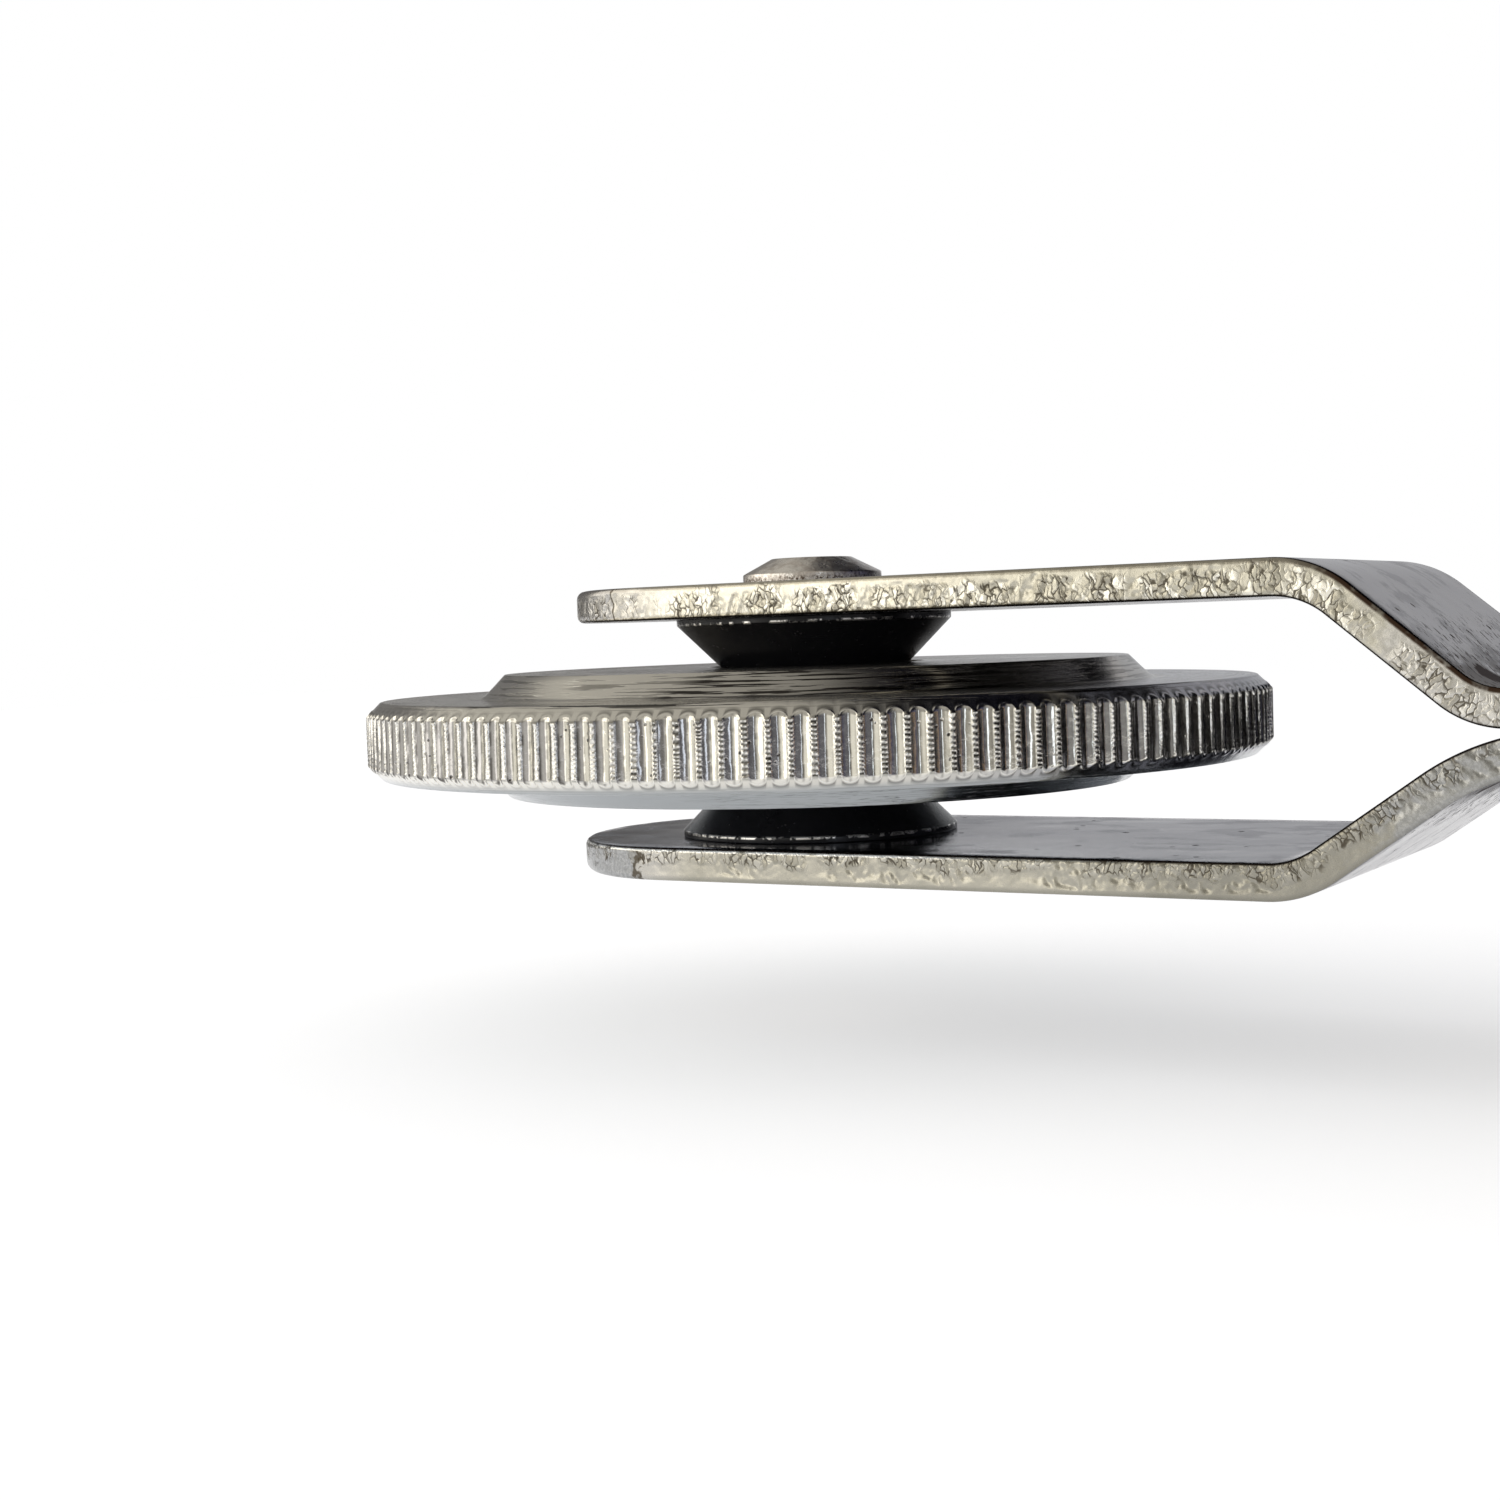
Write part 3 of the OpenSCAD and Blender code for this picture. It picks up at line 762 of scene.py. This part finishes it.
# Painted shade: the edge darkens from x=5 on, and the lower arm's edge is darker.
cut_tone = onward.mix((0.68, 0.645, 0.55), (0.50, 0.475, 0.395))
stain_tone = onward.mix((0.56, 0.53, 0.43), (0.42, 0.395, 0.32))
# Painted shade: the rounded tip is grey, darker on the lower arm.
tip_dark = upper.mix((0.30, 0.305, 0.31), (0.46, 0.45, 0.44))
tip_light = upper.mix((0.44, 0.445, 0.45), (0.60, 0.585, 0.57))
tone = upper.mix((0.42, 0.40, 0.34), cut_tone)
tone = (stain.step(0.42, 0.68) * 0.55).mix(tone, upper.mix((0.35, 0.335, 0.28), stain_tone))
# Painted highlight and shade on the chips: some facets are painted pale as lit, others dark as shaded.
lit_chip_tone = upper.mix((0.52, 0.50, 0.44), (0.93, 0.90, 0.80))
tone = (chip.step(0.55, 0.7) * torn * 0.7).mix(tone, lit_chip_tone)
# Painted shade on the lower arm's ramp.
tone = (ramp * 0.5).mix(tone, (0.21, 0.20, 0.17))
tone = (pale * 0.6).mix(tone, (0.62, 0.60, 0.58))
tone = (tip * 0.9 + tail * 0.6).mix(tone, crumbs.step(0.4, 0.62).mix(tip_dark, tip_light))
# Painted shade on the darker chips.
tone = ((1 - chip.step(0.22, 0.34)) * torn * 0.5).mix(tone, (0.26, 0.24, 0.19))
tone = (cracks * 0.85 + tip_line * 0.9).mix(tone, (0.08, 0.065, 0.045))
tone = (outer_corner_shade * stain.step(0.3, 0.5)).mix(tone, (0.075, 0.045, 0.03))
tone = glint.mix(tone, (0.97, 0.96, 0.92))
tone = inner_corner_shade.mix(tone, (0.03, 0.022, 0.018))
surface(
    place,
    Base_Color=tone,
    Metallic=1.0,
    Roughness=0.20 + crumbs * 0.12 + cracks * 0.3,
    Normal=((chip_edge.step(0, 0.2) * 0.4 + lift * 0.6) * torn + crumbs * 0.15).bump(0.028),
)
arm("upper_arm", 1, bend_x=23.5, slope=40, neck_r=2.2, seed=100)
arm("lower_arm", -1, bend_x=23.0, slope=35, neck_r=7.0, seed=200)

# ---- Axle rivet ----
# A steel rivet through arms, cones and wheel. Its heads are set cold against the arms, the upper one
# with a bevel and the lower one flatter, and the metal is dented where the tool closed them.

axle_r = 1.6
face_z = arm_z + strip_t
head_r, head_h = 2.95, 1.1
head_side_h, head_top_r = 0.45, 1.7
low_head_r, low_head_h = 2.4, 0.45
middle_r = 0.6
upper_head = rounded(
    [
        (axle_r, face_z, 0),
        (head_r, face_z, 0.02),
        (head_r, face_z + head_side_h, 0.1),
        (head_top_r, face_z + head_h, 0.1),
        (middle_r, face_z + head_h, 0),
    ]
)
lower_head = rounded(
    [
        (axle_r, face_z, 0),
        (low_head_r, face_z, 0.02),
        (low_head_r - 0.2, face_z + 0.4, 0.15),
        (middle_r, face_z + low_head_h, 0),
    ]
)

rivet_steel, place = finish("set rivet steel")
_, _, z = place.parts()
dents = place.cells(1.6, "SMOOTH_F1")
mark = place.noise(2.4, 4, 0.65)
crumbs = place.noise(9, 4, 0.7)
skirt = 1 - (abs(z) - face_z).step(0.15, 0.5)
tone = mark.step(0.4, 0.7).mix((0.90, 0.865, 0.82), (0.62, 0.56, 0.51))
tone = (skirt * crumbs.step(0.42, 0.6)).mix(tone, (0.12, 0.085, 0.06))
surface(
    place,
    Base_Color=tone,
    Metallic=1.0,
    Roughness=0.20 + mark * 0.18,
    Normal=(dents * 0.5 + mark * 0.5 + crumbs * skirt * 0.8).bump(0.06),
)
outline = [(r, -h) for r, h in reversed(lower_head)] + upper_head
turned("axle_rivet", outline, 96, rivet_steel)

# ---- Neck rivet ----
# A round-headed steel rivet through the two tails where they meet behind the wheel. The second head is
# hammered round, so both sides look alike.

neck_x = 36.202
neck_shank_r = 1.5
neck_head_r, neck_head_h = 2.8, 1.3


def dome(r, h, top, steps, flat):
    """Outline of a round head from its edge to its middle, where a small angle stays flat."""
    ball = (r ** 2 + h ** 2) / (2 * h)
    turns = np.linspace(math.asin(r / ball), flat, steps)
    return [(ball * math.sin(a), top - ball * (1 - math.cos(a))) for a in turns]


head = dome(neck_head_r, neck_head_h, strip_t + neck_head_h, 14, 0.04)
outline = [(r, -h) for r, h in reversed(head)]
outline += [(neck_shank_r, -strip_t), (neck_shank_r, strip_t)] + head
turned("neck_rivet", outline, 72, rivet_steel, at_x=neck_x)

# ---- Handle ----
# Turned from one piece of beech and varnished. The tang sits in a slot sawn in its spigot, under the
# ferrule.

ferrule_x, grip_x, butt_x = 44.702, 60.702, 155.702
spigot_x, spigot_r = ferrule_x + 0.6, 7.67
shoulder_r, waist_r, grip_r, butt_r = 9.5, 8.25, 12.5, 5.5
waist_x, band_x, band_l = grip_x + 19.0, grip_x + 57.0, 18.0
round_x = band_x + band_l


def ease(a, b, t):
    """From a to b as t goes from 0 to 1, level at both ends."""
    return a + (b - a) * (1 - math.cos(math.pi * t)) / 2


outline = [(0.3, spigot_x)] + rounded(
    [
        (6.0, spigot_x, 0),
        (spigot_r, spigot_x, 0.2),
        (spigot_r, grip_x, 0),
        (shoulder_r, grip_x, 0.9),
        (shoulder_r, grip_x + 1.2, 0),
    ]
)
for t in np.linspace(0.05, 1, 24):
    outline.append((ease(shoulder_r, waist_r, t), grip_x + 1 + (waist_x - grip_x - 1) * t))
for t in np.linspace(0, 1, 40)[1:]:
    outline.append((ease(waist_r, grip_r, t), waist_x + (band_x - waist_x) * t))
outline += [(grip_r, band_x + band_l * t) for t in (0.25, 0.5, 0.75)]
for a in np.linspace(0, math.pi / 2, 28):
    r = butt_r + (grip_r - butt_r) * math.cos(a)
    outline.append((r, round_x + (butt_x - round_x) * math.sin(a)))
outline += [(butt_r - 0.6, butt_x), (0.5, butt_x)]

wood, place = finish("varnished beech")
x, y, z = place.parts()
sway = place.stretch(0.02, 0.12, 0.12).noise(1.0)
from_pith = place.vector(x * 0.012, y + sway * 5 + 18, z * 0.9 + sway * 3).length()
late = (from_pith * 3.2 + place.noise(0.15) * 2).math("SINE") * 0.5 + 0.5
fibre = place.stretch(0.12, 3.2, 3.2).noise(1.0, 4, 0.6)
flecks = place.stretch(0.35, 2.2, 2.2).noise(1.4).step(0.62, 0.72)
tone = late.mix((0.60, 0.365, 0.165), (0.50, 0.275, 0.11))
tone = (fibre.step(0.35, 0.7) * 0.45).mix(tone, (0.66, 0.43, 0.22))
tone = (flecks * 0.55).mix(tone, (0.33, 0.165, 0.065))
surface(
    place,
    Base_Color=tone,
    Roughness=0.38 + fibre * 0.15,
    Normal=(fibre * 0.6 - flecks * 0.4).bump(0.02),
    Coat_Weight=0.85,
    Coat_Roughness=0.09,
)
turned("handle", outline, 128, wood, lying=True)

# ---- Ferrule ----
# A short steel tube with a rolled front edge, nickel plated and driven over the handle's spigot to
# keep the slotted wood from splitting.

ferrule_r, ferrule_bore, end_bevel = 8.5, 7.7, 0.15
roll_r, roll_l, roll_stop = 0.6, 1.1, 0.35
outline = [
    (ferrule_bore + roll_r + roll_r * math.cos(a), ferrule_x + roll_r + roll_r * math.sin(a))
    for a in np.linspace(-math.pi, roll_stop, 18)
]
outline += [(ferrule_r, ferrule_x + roll_l)]
outline += [(ferrule_r, grip_x - before_end) for before_end in (12, 8, 4, end_bevel)]
outline += [(ferrule_r - end_bevel, grip_x), (ferrule_bore, grip_x)]

tube, place = finish("nickel plated tube")
x, _, _ = place.parts()
drawn = place.vector(x * 5, 0, 0).noise(1.0, 3)
haze = place.noise(0.5, 3)
surface(
    place,
    Base_Color=haze.step(0.35, 0.75).mix(nickel, (0.60, 0.59, 0.57)),
    Metallic=1.0,
    Roughness=0.13 + drawn * 0.12 + haze * 0.08,
    Normal=drawn.bump(0.006, place.noise(0.3, 1).bump(0.05)),
)
turned("ferrule", outline, 128, tube, closed=True, lying=True)

# ---- Ferrule pin ----
# A soft steel pin driven across ferrule, wood and tang. Both its ends are rounded over, so that it
# can't work out.

pin_x, pin_r, pin_end = 52.702, 1.25, 8.9
pin_head_h = 0.6
head = dome(pin_r, pin_head_h, pin_end, 10, 0.05)
outline = [(r, -h) for r, h in reversed(head)] + head
turned("ferrule_pin", outline, 48, rivet_steel, at_x=pin_x)

# ---- Floor ----
# A sheet of white paper under the whole tool, with its corners given in metres. It keeps the tool's
# shadow, and from 11 to 17 cm out polished metal begins to mirror the walls in its place.

floor_corners = [(-0.5, -0.5), (0.6, -0.5), (0.6, 0.5), (-0.5, 0.5)]
mesh = bpy.data.meshes.new("floor")
mesh.from_pydata([(*corner, cad_low.z) for corner in floor_corners], [], [(0, 1, 2, 3)])
floor = bpy.data.objects.new("floor", mesh)
bpy.context.scene.collection.objects.link(floor)


def ray_masks(wire):
    """Masks of the rays that see a colour, of the camera's alone and of the glossy ones alone."""
    camera_ray = wire.node("LightPath")
    rays = camera_ray.socket.node.outputs
    glossy_ray = Wire(rays["Is Glossy Ray"])
    return camera_ray + glossy_ray + Wire(rays["Is Transmission Ray"]), camera_ray, glossy_ray


paper, place = finish("white paper floor")
seen, _, glossy_ray = ray_masks(place)
matt = place.node("BsdfDiffuse", None, {"Color": (0.9, 0.9, 0.9, 1)})
glow_colour = seen.mix((0, 0, 0), (0.42, 0.42, 0.42))
glow = place.node("Emission", None, {"Color": glow_colour, "Strength": 1.0})
lit = place.node("AddShader", None, {0: matt, 1: glow})
clear = place.node("BsdfTransparent")
far_off = place.length().step(110, 170)
end_tree(place.node("MixShader", None, {0: far_off * glossy_ray, 1: lit, 2: clear}), "Material")
mesh.materials.append(paper)

# ---- Studio walls ----
# The pale walls of the room as polished metal mirrors them, with a bright band at the wheel's height
# and grey and dark screens between the lamps. The camera itself sees plain white.

studio = bpy.data.worlds.new("studio")
look = start_tree(studio, "Generated")
seen, camera_ray, _ = ray_masks(look)
_, _, up = look.parts()
level_band = 1 - abs(up).step(0.10, 0.22)
horizon = 1 - abs(up).step(0.01, 0.06)


def towards(azimuth, height=0.0):
    """How far the view goes in a direction, from -1 to 1. Azimuth 0 is +X and 90 is +Y."""
    a, e = math.radians(azimuth), math.radians(height)
    way = (math.cos(a) * math.cos(e), math.sin(a) * math.cos(e), math.sin(e))
    return look.node("VectorMath", {"operation": "DOT_PRODUCT"}, {0: look, 1: way}, 1)


# Azimuth, height, where a screen begins and is full, how dense it is, and its colour.
screens = [
    (-16, 0, 0.76, 0.95, 0.8, (0.16, 0.165, 0.19)),
    (-58.7, 2, 0.90, 0.985, 0.4, (0.04, 0.04, 0.045)),
    (140, 4, 0.75, 0.97, 0.75, (0.05, 0.05, 0.06)),
    (48.3, 30, 0.42, 0.68, 1.0, (0.0, 0.0, 0.004)),
    (14, 0, 0.88, 0.98, 0.85, (0.13, 0.13, 0.21)),
    (100, 9, 0.90, 0.985, 1.0, (0.50, 0.505, 0.52)),
]
room = up.step(0.0, 0.9).mix((0.47, 0.45, 0.405), (0.46, 0.44, 0.395))
room = (towards(-122).step(0.50, 0.72) * level_band).mix(room, (0.86, 0.84, 0.78))
for azimuth, height, begins, full, dense, colour in screens:
    room = (towards(azimuth, height).step(begins, full) * dense).mix(room, colour)
room = (horizon * towards(121.3).step(0.93, 0.98)).mix(room, (1.0, 1.0, 1.0))
room = camera_ray.mix(room, (1.0, 1.0, 1.0))
light = seen.mix((0.62, 0.62, 0.63), room)
end_tree(look.node("Background", None, {"Color": light, "Strength": 1.0}), "World")
bpy.context.scene.world = studio

# ---- Lamps ----
# A large warm softbox to the left, a smaller bright one beside it at the height of the wheel, and a
# narrow cool fill on the right. Their sizes and distances are in metres.


def softbox(name, azimuth, height, distance, width, tall, level, colour):
    """An area lamp that faces the wheel. Level is its brightness where white is 1."""
    lamp = bpy.data.lights.new(name, "AREA")
    lamp.shape = "RECTANGLE"
    lamp.size, lamp.size_y = width, tall
    lamp.energy = level * math.pi * width * tall
    lamp.color = colour
    stand = bpy.data.objects.new(name, lamp)
    a, e = math.radians(azimuth), math.radians(height)
    way = (math.cos(a) * math.cos(e), math.sin(a) * math.cos(e), math.sin(e))
    stand.location = [distance * c for c in way]
    stand.rotation_euler = (math.pi / 2 - e, 0, a + math.pi / 2)
    stand.visible_camera = False
    bpy.context.scene.collection.objects.link(stand)


softbox("warm_softbox", -151, 22, 0.6, 0.84, 0.40, 1.15, (1.0, 0.955, 0.86))
softbox("bright_strip", -117, 3, 0.55, 0.20, 0.16, 1.2, (1.0, 0.97, 0.92))
softbox("cool_fill", -48, 4, 0.7, 0.09, 0.22, 2.0, (0.80, 0.88, 1.0))

# ---- Camera ----
# It looks level across the wheel from some 9 cm away and a little above its middle, and takes in the
# head of the tool up to its neck. Its place is in metres.

camera = bpy.data.cameras.new("camera")
camera.lens = 52.37
camera.sensor_width = 36
camera.clip_start, camera.clip_end = 0.01, 10
eye = bpy.data.objects.new("camera", camera)
eye.location = (0.04604, -0.08122, 0.004025)
eye.rotation_euler = [math.radians(a) for a in (86.884, 1.971, 31.225)]
bpy.context.scene.collection.objects.link(eye)
bpy.context.scene.camera = eye
bpy.context.scene.view_settings.view_transform = "Standard"
